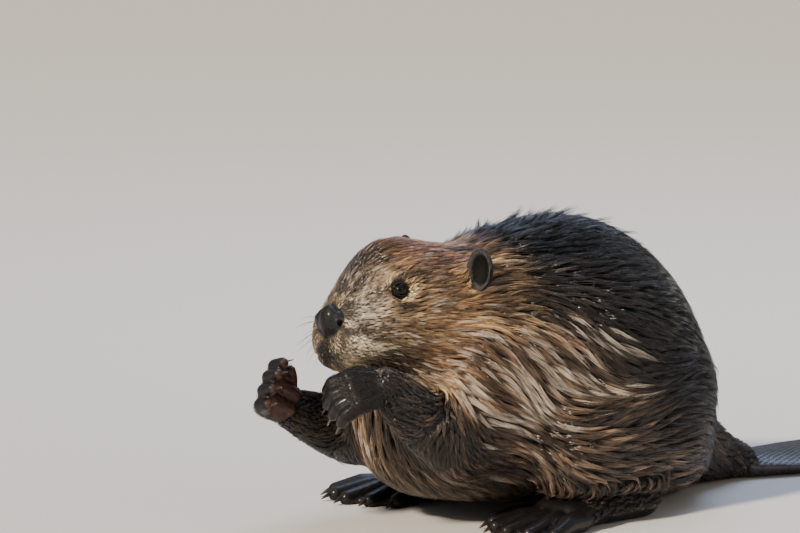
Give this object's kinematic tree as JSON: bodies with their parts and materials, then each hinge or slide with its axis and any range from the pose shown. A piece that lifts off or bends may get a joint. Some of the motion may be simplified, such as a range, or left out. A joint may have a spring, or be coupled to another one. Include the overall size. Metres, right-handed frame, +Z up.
{
  "type": "beaver",
  "caption": "Life-size still model of an adult beaver sitting hunched on its haunches, head low, with its forepaws held up before its mouth and its flat scaly tail laid out behind.",
  "frame": {"origin": "centre of the bounding box at floor level, under the belly", "axes": "the animal faces -X, its left side is at -Y, +Z is up"},
  "size_m": [0.7826, 0.3132, 0.2632],
  "materials": {
    "coat": "matte",
    "skin": "satin",
    "claw": "satin",
    "eye": "gloss"
  },
  "bodies": {
    "root": {"claw_fore_left_1": "claw", "claw_fore_left_2": "claw", "claw_fore_left_3": "claw", "claw_fore_left_4": "claw", "claw_fore_left_5": "claw", "claw_fore_right_1": "claw", "claw_fore_right_2": "claw", "claw_fore_right_3": "claw", "claw_fore_right_4": "claw", "claw_fore_right_5": "claw", "claw_hind_left_1": "claw", "claw_hind_left_2": "claw", "claw_hind_left_3": "claw", "claw_hind_left_4": "claw", "claw_hind_left_5": "claw", "claw_hind_right_1": "claw", "claw_hind_right_2": "claw", "claw_hind_right_3": "claw", "claw_hind_right_4": "claw", "claw_hind_right_5": "claw", "ear_left": "coat", "ear_right": "coat", "eye_left": "eye", "eye_right": "eye", "forearm_left": "coat", "forearm_right": "coat", "forepaw_left": "skin", "forepaw_right": "skin", "haunch_left": "coat", "haunch_right": "coat", "head": "coat", "hind_foot_left": "skin", "hind_foot_right": "skin", "neck": "coat", "nose_pad": "skin", "tail_paddle": "skin", "tail_root": "coat", "trunk": "coat"}
  },
  "joints": []
}
